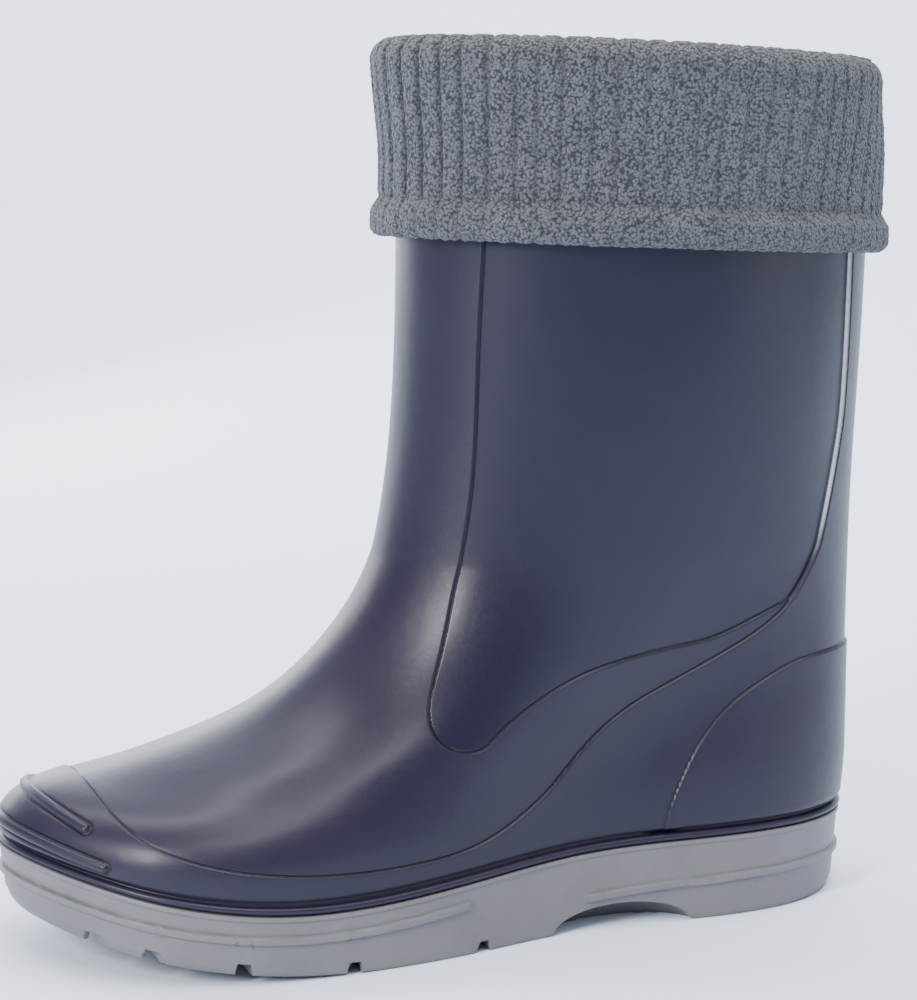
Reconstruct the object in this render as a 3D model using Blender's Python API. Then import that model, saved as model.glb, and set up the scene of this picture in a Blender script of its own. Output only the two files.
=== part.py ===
# Child's rain boot for the left foot: a hollow PVC upper on a grey moulded sole,
# with a footbed and the knitted cuff of its sock liner folded over the collar.
# Frame: the origin is on the floor under the middle of the heel, +X points to the toe,
# +Y to the outer side of the foot, +Z up. Everything is in metres.
import bpy
import bmesh
import numpy as np
from math import pi

# Driving dimensions
sole_length = 0.215
ball_width = 0.0805
heel_seat = 0.034            # from the back of the heel to the origin

heel_thickness = 0.0207      # sole under the heel, up to the upper's margin
waist_thickness = 0.0183
ball_thickness = 0.0147
toe_thickness = 0.0147
toe_spring = 0.0117
spring_start = 0.60          # share of the length where the tread leaves the floor
thickness_places = (0.0, 0.25, 0.50, 0.72, 1.0)   # heel, heel, waist, ball and toe, share of the length
bottom_inset = 0.0019        # how far the tread's edge lies inside the top edge
end_rounding = 0.0042        # rounded lower edge at heel and toe
side_rounding = 0.0007

instep_height = 0.0905       # floor to where the front line turns into the shaft
collar_height = 0.2030
shaft_width = 0.0900
ankle_width = 0.0700

upper_wall = 0.0022
fit_gap = 0.0003             # clearance where two pieces meet

bead_height = 0.0019
bead_proud = 0.0013
panel_recess = 0.0006        # side panel, sunk into the wall
guard_step = 0.0006          # toe cap, mudguard and rear strip, raised over the vamp
counter_step = 0.0012        # heel counter, raised over the vamp
relief_seat = 0.0009         # how deep a raised part is rooted in the wall
toe_bar_width = 0.0023
toe_bar_step = 0.0016        # toe bars, raised over the vamp

rib_height = 0.0020
rib_proud = 0.0009
lip_height = 0.0012
lip_proud = 0.0005
channel_width = 0.0034
channel_depth = 0.0027
scallop_place = 0.335        # middle of the arch's scallop, share of the length
scallop_length = 0.037
scallop_height = 0.0060
scallop_depth = 0.0095

insole_thickness = 0.0030

cuff_drop = 0.0415           # how far the cuff hangs outside the collar
cuff_inside = 0.0380         # how far its inner leg goes down the shaft
knit_thickness = 0.0035
lining_thickness = 0.0030
fold_height = 0.0052         # top of the fold over the collar
hem_height = 0.0095
hem_proud = 0.0017

around = 60                  # points round each ring, a multiple of 4

# Foot outline: place along the sole from the heel (share of sole_length), half width
# (share of ball_width) and how far the middle line bends outwards (share of ball_width)
outline_columns = ("along", "half", "bend")
outline_table = (
    (0.00, 0.000, 0.003),
    (0.02, 0.187, 0.006),
    (0.05, 0.271, 0.011),
    (0.10, 0.341, 0.015),
    (0.15, 0.373, 0.015),
    (0.22, 0.381, 0.016),
    (0.32, 0.358, 0.019),
    (0.42, 0.364, 0.029),
    (0.52, 0.404, 0.049),
    (0.60, 0.448, 0.039),
    (0.66, 0.476, 0.024),
    (0.72, 0.497, 0.007),
    (0.78, 0.502, -0.014),
    (0.84, 0.475, -0.035),
    (0.89, 0.419, -0.056),
    (0.93, 0.340, -0.082),
    (0.965, 0.236, -0.099),
    (1.00, 0.000, -0.106),
)

# Rings of the upper, from its margin to the collar. Each runs from a rear point to a
# front point. rear_along and front_along: share of sole_length. rear_up and front_up:
# height, 0 at the sole's top, 1 at the instep, 2 at the collar. heel and fore: the foot
# outline's width at that ring. oval: from foot outline (0) to the shaft's oval (1).
# girth: the oval's width between ankle_width (0) and shaft_width (1).
ring_columns = ("rear_along", "rear_up", "front_along", "front_up", "heel", "fore", "oval", "girth")
ring_table = (
    (0.0050, 0.000, 0.9930, 0.000, 0.970, 0.975, 0.00, 0.00),
    (0.0030, 0.080, 0.9980, 0.075, 0.985, 0.985, 0.00, 0.00),
    (0.0000, 0.190, 0.9880, 0.155, 0.985, 0.975, 0.00, 0.00),
    (-0.0010, 0.300, 0.9550, 0.235, 0.975, 0.930, 0.05, 0.00),
    (-0.0020, 0.410, 0.8980, 0.298, 0.960, 0.880, 0.14, 0.00),
    (-0.0030, 0.530, 0.8300, 0.373, 0.940, 0.840, 0.27, 0.00),
    (-0.0040, 0.650, 0.7550, 0.459, 0.930, 0.800, 0.42, 0.02),
    (-0.0050, 0.780, 0.6880, 0.570, 0.920, 0.780, 0.58, 0.06),
    (-0.0060, 0.910, 0.6320, 0.720, 0.910, 0.770, 0.74, 0.12),
    (-0.0070, 1.060, 0.5900, 0.900, 0.900, 0.770, 0.88, 0.22),
    (-0.0100, 1.250, 0.5620, 1.130, 0.900, 0.770, 0.97, 0.38),
    (-0.0145, 1.480, 0.5480, 1.410, 0.900, 0.770, 1.00, 0.58),
    (-0.0180, 1.780, 0.5440, 1.750, 0.900, 0.770, 1.00, 0.79),
    (-0.0195, 2.000, 0.5460, 2.045, 0.900, 0.770, 1.00, 1.00),
)

# Lines of the relief, seen from the side and alike on both sides of the boot.
# along: share of sole_length. up: 0 at the sole's top, 1 at the instep, 2 at the collar.
line_columns = ("along", "up")
guard_line = (
    (0.054, 1.90), (0.052, 1.63), (0.050, 1.35), (0.057, 1.21), (0.078, 1.04), (0.099, 0.92),
    (0.130, 0.80), (0.173, 0.71), (0.220, 0.64), (0.274, 0.568), (0.320, 0.508), (0.359, 0.439),
    (0.388, 0.368), (0.411, 0.300), (0.436, 0.235), (0.465, 0.183), (0.494, 0.145), (0.530, 0.117),
    (0.575, 0.107), (0.640, 0.110), (0.710, 0.119), (0.760, 0.128), (0.807, 0.139), (0.850, 0.158),
    (0.884, 0.190), (0.903, 0.235), (0.912, 0.285), (0.921, 0.330),
)
counter_line = (
    (0.000, 0.612), (0.066, 0.608), (0.115, 0.592), (0.156, 0.546), (0.187, 0.496), (0.216, 0.430),
    (0.245, 0.328), (0.266, 0.220), (0.279, 0.130), (0.288, 0.030),
)
panel_line = (
    (0.492, 1.90), (0.495, 1.65), (0.499, 1.44), (0.505, 1.18), (0.522, 0.97), (0.539, 0.79),
    (0.557, 0.65), (0.567, 0.570), (0.568, 0.505), (0.558, 0.458), (0.540, 0.428), (0.520, 0.422),
    (0.505, 0.442), (0.480, 0.500), (0.445, 0.562), (0.410, 0.612), (0.370, 0.650), (0.320, 0.674),
    (0.270, 0.690), (0.225, 0.708), (0.180, 0.755), (0.140, 0.80),
)

# Corners that close each line into a region, outside the boot or under a later strip
guard_closing = ((0.93, 0.8), (1.2, 0.8), (1.2, -0.1), (-0.2, -0.1), (-0.2, 1.90))
counter_closing = ((0.288, -0.1), (-0.2, -0.1), (-0.2, 0.612))
panel_closing = ((0.03, 0.95), (0.03, 1.90))
level_margin = 0.06          # how far the relief's tools stop short of the shell's ends
counter_top_level = 9.2      # ring level that the counter's tool stays under

# Places along the sole (share of sole_length) of the tread's cross channels
channel_places = (0.927, 0.876, 0.788, 0.667, 0.512)

# Side ribs of the sole: from and to (turn round the outline in degrees, 0 at the heel and
# 180 at the toe), height on the side wall (0 at the tread, 1 at the top)
rib_columns = ("turn_from", "turn_to", "start_up", "middle_up")
rib_table = (
    (94.0, 266.0, 0.70, 0.575),
    (-75.0, 75.0, 0.42, 0.500),
)

# Toe bars: turn at their ends and ring level at the ends and over the toe's tip
bar_columns = ("turn", "end_level", "tip_level")
bar_table = (
    (147.0, 1.00, 1.30),
    (153.0, 2.20, 2.72),
)


def smooth_through(places, values, wanted):
    # Natural cubic spline through the rows of a table
    places = np.asarray(places, float)
    values = np.asarray(values, float)
    step = np.diff(places)
    count = len(places)
    system = np.zeros((count, count))
    right = np.zeros(count)
    system[0, 0] = 1.0
    system[-1, -1] = 1.0
    for i in range(1, count - 1):
        system[i, i - 1] = step[i - 1]
        system[i, i] = 2.0 * (step[i - 1] + step[i])
        system[i, i + 1] = step[i]
        right[i] = 6.0 * ((values[i + 1] - values[i]) / step[i] - (values[i] - values[i - 1]) / step[i - 1])
    bend = np.linalg.solve(system, right)
    wanted = np.clip(np.asarray(wanted, float), places[0], places[-1])
    i = np.clip(np.searchsorted(places, wanted) - 1, 0, count - 2)
    h = step[i]
    left = (places[i + 1] - wanted) / h
    rest = 1.0 - left
    curve = ((left ** 3 - left) * bend[i] + (rest ** 3 - rest) * bend[i + 1]) * h ** 2 / 6.0
    return left * values[i] + rest * values[i + 1] + curve


def column(table, columns, name):
    return np.array([row[columns.index(name)] for row in table])


def outline_roundness(along):
    # Half width over sqrt(t (1 - t)), which stays finite and smooth at the round ends
    places = column(outline_table, outline_columns, "along")
    half = column(outline_table, outline_columns, "half")
    inner = slice(1, -1)
    round_at = half[inner] / np.sqrt(places[inner] * (1.0 - places[inner]))
    places = np.concatenate([[0.0], places[inner], [1.0]])
    round_at = np.concatenate([[round_at[0] * 1.04], round_at, [round_at[-1] * 0.93]])
    return smooth_through(places, round_at, along)


def outline_bend(along):
    return smooth_through(column(outline_table, outline_columns, "along"),
                          column(outline_table, outline_columns, "bend"), along)


def sole_thickness(along):
    thickness = (heel_thickness, heel_thickness, waist_thickness, ball_thickness, toe_thickness)
    return smooth_through(thickness_places, thickness, along)


def spring(along):
    past = np.clip((np.asarray(along) - spring_start) / (1.0 - spring_start), 0.0, 1.0)
    return toe_spring * past ** 2


def sole_top(along):
    return sole_thickness(along) + spring(along)


def ring_angles():
    return np.arange(around) * 2.0 * pi / around


def outline_ring(angle, out=None):
    # One closed turn of the sole's outline, from the heel round the outer side to the toe
    along = (1.0 - np.cos(angle)) / 2.0
    half = outline_roundness(along) * np.sin(angle) / 2.0 * ball_width
    x = along * sole_length
    y = half + outline_bend(along) * ball_width
    if out is not None:
        turn = 1e-3
        ahead = np.stack(outline_ring(angle + turn))
        behind = np.stack(outline_ring(angle - turn))
        tangent = ahead - behind
        tangent /= np.linalg.norm(tangent, axis=0)
        x = x - tangent[1] * out
        y = y + tangent[0] * out
    return x, y


ring_count = len(ring_table)


def ring_value(name, level):
    rows = np.arange(ring_count, dtype=float)
    return smooth_through(rows, column(ring_table, ring_columns, name), level)


def height_of(up, along):
    # up 0 to 1 runs from the sole's top to the instep, 1 to 2 up the shaft
    low = sole_top(np.clip(along, 0.0, 1.0))
    foot = low + np.minimum(up, 1.0) * (instep_height - low)
    return foot + np.maximum(up - 1.0, 0.0) * (collar_height - instep_height)


def upper_skin(angle, level):
    # The upper's outer face: angle runs round the foot, level from the margin (0) to the collar
    angle, level = np.broadcast_arrays(np.asarray(angle, float), np.asarray(level, float))
    rear = ring_value("rear_along", level)
    front = ring_value("front_along", level)
    along = (1.0 - np.cos(angle)) / 2.0
    x_share = rear + (front - rear) * along
    rear_up = ring_value("rear_up", level)
    front_up = ring_value("front_up", level)
    up = rear_up + (front_up - rear_up) * along
    oval = np.clip(ring_value("oval", level), 0.0, 1.0)
    heel = ring_value("heel", level)
    fore = ring_value("fore", level)
    foot_round = outline_roundness(along) * (heel + (fore - heel) * along) * ball_width
    width = ankle_width + (shaft_width - ankle_width) * ring_value("girth", level)
    round_at = foot_round * (1.0 - oval) + width * oval
    bend = outline_bend(along) * ball_width * (1.0 - oval)
    x = x_share * sole_length
    y = round_at * np.sin(angle) / 2.0 + bend
    z = height_of(up, x_share)
    return np.stack([x, y, z], -1)


def upper_face(angle, level, out=0.0):
    # The skin moved along its own normal; out is negative towards the foot
    turn, rise = 1e-3, 1e-3
    top = ring_count - 1.0
    point = upper_skin(angle, level)
    round_step = upper_skin(np.asarray(angle) + turn, level) - upper_skin(np.asarray(angle) - turn, level)
    above = np.minimum(np.asarray(level, float) + rise, top)
    below = np.maximum(np.asarray(level, float) - rise, 0.0)
    up_step = upper_skin(angle, above) - upper_skin(angle, below)
    normal = np.cross(up_step, round_step)
    normal /= np.linalg.norm(normal, axis=-1, keepdims=True)
    return point + normal * np.asarray(out, float)[..., None]


def to_frame(points):
    return np.asarray(points) - np.array([heel_seat, 0.0, 0.0])


def material(name, colour, roughness):
    made = bpy.data.materials.new(name)
    made.use_nodes = True
    shader = made.node_tree.nodes["Principled BSDF"]
    shader.inputs["Base Color"].default_value = (*colour, 1.0)
    shader.inputs["Roughness"].default_value = roughness
    return made


def mesh_object(name, bm, surface=None):
    # Without a surface the object is a tool for a Boolean and isn't part of the boot
    bmesh.ops.recalc_face_normals(bm, faces=bm.faces[:])
    mesh = bpy.data.meshes.new(name)
    bm.to_mesh(mesh)
    bm.free()
    made = bpy.data.objects.new(name, mesh)
    bpy.context.scene.collection.objects.link(made)
    if surface:
        mesh.materials.append(surface)
        mesh.shade_smooth()
        mesh.set_sharp_from_angle(angle=0.7)
    else:
        made.hide_render = True
        made.display_type = "WIRE"
    return made


def boolean(target, tool, operation):
    step = target.modifiers.new(operation.lower() + "_" + tool.name, "BOOLEAN")
    step.object = tool
    step.operation = operation
    step.solver = "EXACT"


def ring_verts(bm, points):
    return [bm.verts.new(point) for point in to_frame(points)]


def join_rings(bm, low, high):
    for i in range(len(low)):
        j = (i + 1) % len(low)
        bm.faces.new((low[i], low[j], high[j], high[i]))


def lathe(bm, rings):
    # Joins closed rings of equal length, each to the next and the last to the first
    rows = [ring_verts(bm, ring) for ring in rings]
    for low, high in zip(rows, rows[1:] + rows[:1]):
        join_rings(bm, low, high)


def cross_faces(bm, row):
    # Closes a ring with strips from the outer to the inner side of the foot
    count = len(row)
    for i in range(count // 2):
        corners = [row[i], row[i + 1], row[count - i - 1], row[-i]]
        unique = [corner for k, corner in enumerate(corners) if corner not in corners[:k]]
        bm.faces.new(unique)


def stacked(bm, rings):
    # A solid of rings with its ends closed by cross strips
    rows = [ring_verts(bm, ring) for ring in rings]
    for low, high in zip(rows, rows[1:]):
        join_rings(bm, low, high)
    cross_faces(bm, rows[0])
    cross_faces(bm, rows[-1])


def extrude_side_view(name, line, closing):
    # Prism across the boot from a smooth side-view line, closed through the closing points
    places = np.arange(len(line), dtype=float)
    wanted = np.linspace(0.0, places[-1], 2 * len(line) - 1)
    along = smooth_through(places, column(line, line_columns, "along"), wanted)
    up = smooth_through(places, column(line, line_columns, "up"), wanted)
    outline = list(zip(along, up)) + list(closing)
    half = ball_width
    bm = bmesh.new()
    sides = []
    for y in (-half, half):
        points = [(a * sole_length, y, float(height_of(u, a))) for a, u in outline]
        sides.append([bm.verts.new(point) for point in to_frame(points)])
    join_rings(bm, sides[0], sides[1])
    bm.faces.new(sides[0])
    bm.faces.new(sides[1])
    return mesh_object(name, bm)


def skin_shell(name, levels, inner, outer):
    # Closed tube between two offsets of the upper's outer face
    angle = ring_angles()
    rings = [upper_face(angle, level, np.full(around, outer)) for level in levels]
    rings += [upper_face(angle, level, np.full(around, inner)) for level in levels[::-1]]
    bm = bmesh.new()
    lathe(bm, rings)
    return mesh_object(name, bm)


def swept_bead(name, angles, section_at):
    # Solid swept along a list of turns; section_at gives the closed section at each
    bm = bmesh.new()
    rows = [ring_verts(bm, section_at(angle, end)) for angle, end in angles]
    for low, high in zip(rows, rows[1:]):
        join_rings(bm, low, high)
    bm.faces.new(rows[0])
    bm.faces.new(rows[-1])
    return mesh_object(name, bm)


def rounded_ends(start, stop, count):
    # Turns from start to stop with how far each is swelled: both ends taper in
    turns = np.linspace(start, stop, count)
    step = (stop - start) / (count - 1)
    swell = np.ones(count)
    swell[0] = swell[-1] = 0.55
    turns[1] = start + step * 0.35
    turns[-2] = stop - step * 0.35
    return list(zip(np.radians(turns), swell))


def toe_bar(number, row):
    turn = row[bar_columns.index("turn")]
    end_level = row[bar_columns.index("end_level")]
    tip_level = row[bar_columns.index("tip_level")]

    def section(angle, swell):
        reach = (pi - angle) / (pi - np.radians(turn))
        level = tip_level + (end_level - tip_level) * reach ** 2
        low = upper_skin(angle, level - 0.01)
        high = upper_skin(angle, level + 0.01)
        half = 0.5 * toe_bar_width * swell / np.linalg.norm(high - low) * 0.02
        shape = ((-1.0, -1.0), (-1.0, 0.35), (-0.6, 0.85), (0.0, 1.0), (0.6, 0.85), (1.0, 0.35), (1.0, -1.0))
        points = []
        for side, height in shape:
            out = height * toe_bar_step * swell if height > 0.0 else -relief_seat
            points.append(upper_face(angle, level + side * half, out))
        return points

    return swept_bead("toe_bar_tool_%d" % number, rounded_ends(turn, 360.0 - turn, 19), section)


def upper_levels():
    return np.concatenate([np.linspace(0.6, 9.8, 16), np.linspace(10.5, ring_count - 1.0, 4)])


def build_upper(surface):
    angle = ring_angles()
    rings = []
    # rounded bead round the lower margin
    margin = upper_face(angle, 0.0)
    outward = (upper_face(angle, 0.0, np.full(around, 0.001)) - margin)[:, :2]
    outward /= np.linalg.norm(outward, axis=1, keepdims=True)
    for turn in np.linspace(-pi / 2, pi / 2, 6):
        ring = margin.copy()
        ring[:, :2] += outward * bead_proud * np.cos(turn)
        ring[:, 2] += fit_gap + bead_height * (1.0 + np.sin(turn)) / 2.0
        rings.append(ring)
    rings += [upper_face(angle, level) for level in upper_levels()]
    inside = np.concatenate([np.linspace(1.0, 9.0, 8), np.linspace(10.5, ring_count - 1.0, 3)])
    rings += [upper_face(angle, level, np.full(around, -upper_wall)) for level in inside[::-1]]
    foot = upper_face(angle, inside[0], np.full(around, -upper_wall))
    foot[:, 2] = margin[:, 2] + fit_gap
    rings.append(foot)
    bm = bmesh.new()
    lathe(bm, rings)
    upper = mesh_object("upper", bm, surface)

    # the tools of the relief stop short of the shell's two ends
    levels = upper_levels()
    levels[0] += level_margin
    levels[-1] -= level_margin
    panel = skin_shell("panel_tool", levels, -panel_recess, 4.0 * panel_recess)
    boolean(panel, extrude_side_view("panel_region", panel_line, panel_closing), "INTERSECT")
    boolean(upper, panel, "DIFFERENCE")
    guard = skin_shell("guard_tool", levels, -relief_seat, guard_step)
    boolean(guard, extrude_side_view("guard_region", guard_line, guard_closing), "INTERSECT")
    boolean(upper, guard, "UNION")
    counter = skin_shell("counter_tool", levels[levels < counter_top_level], -relief_seat, counter_step)
    boolean(counter, extrude_side_view("counter_region", counter_line, counter_closing), "INTERSECT")
    boolean(upper, counter, "UNION")
    for number, row in enumerate(bar_table):
        boolean(upper, toe_bar(number, row), "UNION")
    return upper


def side_wall(share):
    # How far the sole's side wall lies outside its outline at a share of its height
    return -bottom_inset + (bottom_inset - lip_proud) * share


def sole_ring(angle, out, share, rise=0.0):
    x, y = outline_ring(angle, out)
    along = np.clip(x / sole_length, 0.0, 1.0)
    z = spring(along) + sole_thickness(along) * share + rise
    return np.stack([x, y, z], -1)


def side_rib(number, row):
    turn_from, turn_to, start_up, middle_up = row

    def section(angle, swell):
        far = abs(2.0 * (np.degrees(angle) - turn_from) / (turn_to - turn_from) - 1.0)
        share = middle_up + (start_up - middle_up) * far ** 4
        wall = side_wall(share)
        shape = ((-1.0, -1.0), (-1.0, 0.45), (-0.6, 1.0), (0.6, 1.0), (1.0, 0.45), (1.0, -1.0))
        points = []
        for side, out in shape:
            reach = wall + (rib_proud * out * swell if out > 0.0 else -2.0 * rib_proud)
            points.append(sole_ring(np.array([angle]), reach, share, 0.5 * rib_height * side * swell)[0])
        return points

    steps = int(round((turn_to - turn_from) / 5.0))
    return swept_bead("rib_tool_%d" % number, rounded_ends(turn_from, turn_to, steps), section)


def channel_tool():
    bm = bmesh.new()
    for along in channel_places:
        base = float(spring(along))
        centre = to_frame((along * sole_length, 0.0, base - channel_depth))
        box = bmesh.ops.create_cube(bm, size=1.0)["verts"]
        bmesh.ops.scale(bm, vec=(channel_width, 2.0 * ball_width, 4.0 * channel_depth), verts=box)
        bmesh.ops.translate(bm, vec=tuple(centre), verts=box)
    return mesh_object("channel_tool", bm)


def scallop_tool():
    # Two flattened balls that carve the arch out of the tread's edge
    bm = bmesh.new()
    for side in (1, -1):
        turn = np.arccos(1.0 - 2.0 * scallop_place) * side
        x, y = outline_ring(np.array([turn]), -bottom_inset)
        ball = bmesh.ops.create_uvsphere(bm, u_segments=24, v_segments=13, radius=1.0)["verts"]
        bmesh.ops.scale(bm, vec=(scallop_length / 2.0, scallop_depth, scallop_height), verts=ball)
        bmesh.ops.translate(bm, vec=tuple(to_frame((x[0], y[0], 0.0))), verts=ball)
    return mesh_object("scallop_tool", bm)


def build_outsole(surface):
    angle = ring_angles()
    end = np.abs(np.cos(angle)) ** 8
    rounding = side_rounding + (end_rounding - side_rounding) * end
    rings = []
    for turn in np.radians((0.0, 35.0, 65.0, 90.0)):
        rings.append(sole_ring(angle, side_wall(0.0) - rounding * (1.0 - np.sin(turn)), 0.0,
                               rounding * (1.0 - np.cos(turn))))
    rings.append(sole_ring(angle, side_wall(1.0), 1.0, -lip_height - lip_proud))
    rings.append(sole_ring(angle, 0.0, 1.0, -lip_height))
    rings.append(sole_ring(angle, 0.0, 1.0))
    bm = bmesh.new()
    stacked(bm, rings)
    outsole = mesh_object("outsole", bm, surface)
    boolean(outsole, scallop_tool(), "DIFFERENCE")
    boolean(outsole, channel_tool(), "DIFFERENCE")
    for number, row in enumerate(rib_table):
        boolean(outsole, side_rib(number, row), "UNION")
    return outsole


def build_insole(surface):
    angle = ring_angles()
    edge = upper_face(angle, 1.0, np.full(around, -upper_wall - 2.0 * fit_gap))
    rings = []
    for rise in (fit_gap, insole_thickness + fit_gap):
        ring = edge.copy()
        ring[:, 2] = sole_top(np.clip(edge[:, 0] / sole_length, 0.0, 1.0)) + rise
        rings.append(ring)
    bm = bmesh.new()
    stacked(bm, rings)
    return mesh_object("insole", bm, surface)


def collar_ring(below, out):
    # Ring that lies below the collar's rim by a distance, or above it where that is negative
    angle = ring_angles()
    top = ring_count - 1.0
    scale = np.linspace(ring_count - 5.0, top, 200)
    drops = (2.0 - ring_value("rear_up", scale)) * (collar_height - instep_height)
    level = float(np.interp(max(below, 0.0), drops[::-1], scale[::-1]))
    ring = upper_face(angle, level, np.full(around, out))
    ring[:, 2] = upper_skin(angle, top)[:, 2] - below
    return ring


def build_knit_cuff(surface):
    under = guard_step + fit_gap
    outer = under + knit_thickness
    inner = upper_wall + fit_gap
    lining = inner + lining_thickness
    middle = (outer - lining) / 2.0
    half = (outer + lining) / 2.0
    rings = [collar_ring(below, under) for below in (cuff_drop, cuff_drop * 0.5, -fit_gap)]
    rings += [collar_ring(below, -inner) for below in (-fit_gap, cuff_inside * 0.5, cuff_inside)]
    rings += [collar_ring(below, -lining) for below in (cuff_inside, cuff_inside * 0.5)]
    for turn in np.linspace(pi, 0.0, 6):
        rings.append(collar_ring(-fold_height * np.sin(turn), middle + half * np.cos(turn)))
    rings.append(collar_ring((cuff_drop - hem_height) * 0.5, outer))
    rings.append(collar_ring(cuff_drop - hem_height, outer))
    for share, proud in ((0.85, 0.8), (0.45, 1.0), (0.10, 0.7)):
        rings.append(collar_ring(cuff_drop - hem_height * share, outer + hem_proud * proud))
    rings.append(collar_ring(cuff_drop, outer - 0.3 * hem_proud))
    bm = bmesh.new()
    lathe(bm, rings)
    return mesh_object("knit_cuff", bm, surface)


def main():
    for old in list(bpy.data.objects):
        bpy.data.objects.remove(old, do_unlink=True)
    navy = material("navy_pvc", (0.040, 0.045, 0.095), 0.35)
    grey = material("grey_pvc", (0.27, 0.26, 0.27), 0.5)
    felt = material("grey_felt", (0.20, 0.21, 0.22), 0.9)
    knit = material("grey_fleece_knit", (0.17, 0.19, 0.20), 0.95)
    build_outsole(grey)
    build_upper(navy)
    build_insole(felt)
    build_knit_cuff(knit)


main()
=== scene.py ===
# Child's rain boot, left foot: navy moulded PVC on a grey sole, with the ribbed fleece
# cuff of its sock liner folded over the collar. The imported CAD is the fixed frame.
import bpy
import bmesh
import numpy as np
from math import pi
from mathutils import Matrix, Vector, noise


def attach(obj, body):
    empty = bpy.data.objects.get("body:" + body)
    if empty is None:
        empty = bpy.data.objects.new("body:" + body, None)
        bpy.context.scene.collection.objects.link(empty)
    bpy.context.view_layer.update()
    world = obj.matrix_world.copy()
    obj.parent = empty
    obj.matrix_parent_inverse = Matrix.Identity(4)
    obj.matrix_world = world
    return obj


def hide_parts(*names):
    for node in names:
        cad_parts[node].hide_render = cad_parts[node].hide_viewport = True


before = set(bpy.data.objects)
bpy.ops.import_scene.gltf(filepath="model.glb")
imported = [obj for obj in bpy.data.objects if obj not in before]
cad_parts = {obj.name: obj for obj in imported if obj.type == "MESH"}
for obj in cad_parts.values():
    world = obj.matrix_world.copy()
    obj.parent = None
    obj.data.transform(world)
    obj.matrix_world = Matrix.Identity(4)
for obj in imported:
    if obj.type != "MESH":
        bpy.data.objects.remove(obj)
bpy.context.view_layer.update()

mm = 0.001


# Camera

cameraView = {
    "place": (0.28867, 0.55473, 0.18700),
    "aim": (0.06949, 0.00156, 0.10275),
    "lens": 89.3,
    "sensor": 36.0,
}


def lookAt(thing, aim):
    away = Vector(aim) - Vector(thing.location)
    thing.rotation_euler = away.to_track_quat("-Z", "Y").to_euler()


def placeCamera():
    data = bpy.data.cameras.new("bootCamera")
    data.lens = cameraView["lens"]
    data.sensor_width = cameraView["sensor"]
    data.sensor_height = cameraView["sensor"]
    data.clip_start = 0.01
    made = bpy.data.objects.new("bootCamera", data)
    bpy.context.scene.collection.objects.link(made)
    made.location = cameraView["place"]
    lookAt(made, cameraView["aim"])
    bpy.context.scene.camera = made


placeCamera()
print("camera placed")


# Shape of the boot: the same sizes and tables as the CAD, in metres

bootSize = {
    "soleLength": 0.215,
    "ballWidth": 0.0805,
    "heelSeat": 0.034,
    "heelThickness": 0.0207,
    "waistThickness": 0.0183,
    "ballThickness": 0.0147,
    "toeThickness": 0.0147,
    "toeSpring": 0.0117,
    "springStart": 0.60,
    "instepHeight": 0.0905,
    "collarHeight": 0.2030,
    "shaftWidth": 0.0900,
    "ankleWidth": 0.0700,
    "wall": 0.0022,
    "fitGap": 0.0003,
}

# place along the sole, half width, bend of the middle line
outlineTable = np.array((
    (0.00, 0.000, 0.003), (0.02, 0.187, 0.006), (0.05, 0.271, 0.011), (0.10, 0.341, 0.015),
    (0.15, 0.373, 0.015), (0.22, 0.381, 0.016), (0.32, 0.358, 0.019), (0.42, 0.364, 0.029),
    (0.52, 0.404, 0.049), (0.60, 0.448, 0.039), (0.66, 0.476, 0.024), (0.72, 0.497, 0.007),
    (0.78, 0.502, -0.014), (0.84, 0.475, -0.035), (0.89, 0.419, -0.056), (0.93, 0.340, -0.082),
    (0.965, 0.236, -0.099), (1.00, 0.000, -0.106),
))

ringColumns = ("rearAlong", "rearUp", "frontAlong", "frontUp", "heel", "fore", "oval", "girth")
ringTable = np.array((
    (0.0050, 0.000, 0.9930, 0.000, 0.970, 0.975, 0.00, 0.00),
    (0.0030, 0.080, 0.9980, 0.075, 0.985, 0.985, 0.00, 0.00),
    (0.0000, 0.190, 0.9880, 0.155, 0.985, 0.975, 0.00, 0.00),
    (-0.0010, 0.300, 0.9550, 0.235, 0.975, 0.930, 0.05, 0.00),
    (-0.0020, 0.410, 0.8980, 0.298, 0.960, 0.880, 0.14, 0.00),
    (-0.0030, 0.530, 0.8300, 0.373, 0.940, 0.840, 0.27, 0.00),
    (-0.0040, 0.650, 0.7550, 0.459, 0.930, 0.800, 0.42, 0.02),
    (-0.0050, 0.780, 0.6880, 0.570, 0.920, 0.780, 0.58, 0.06),
    (-0.0060, 0.910, 0.6320, 0.720, 0.910, 0.770, 0.74, 0.12),
    (-0.0070, 1.060, 0.5900, 0.900, 0.900, 0.770, 0.88, 0.22),
    (-0.0100, 1.250, 0.5620, 1.130, 0.900, 0.770, 0.97, 0.38),
    (-0.0145, 1.480, 0.5480, 1.410, 0.900, 0.770, 1.00, 0.58),
    (-0.0180, 1.780, 0.5440, 1.750, 0.900, 0.770, 1.00, 0.79),
    (-0.0195, 2.000, 0.5460, 2.045, 0.900, 0.770, 1.00, 1.00),
))
topLevel = len(ringTable) - 1.0

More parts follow.
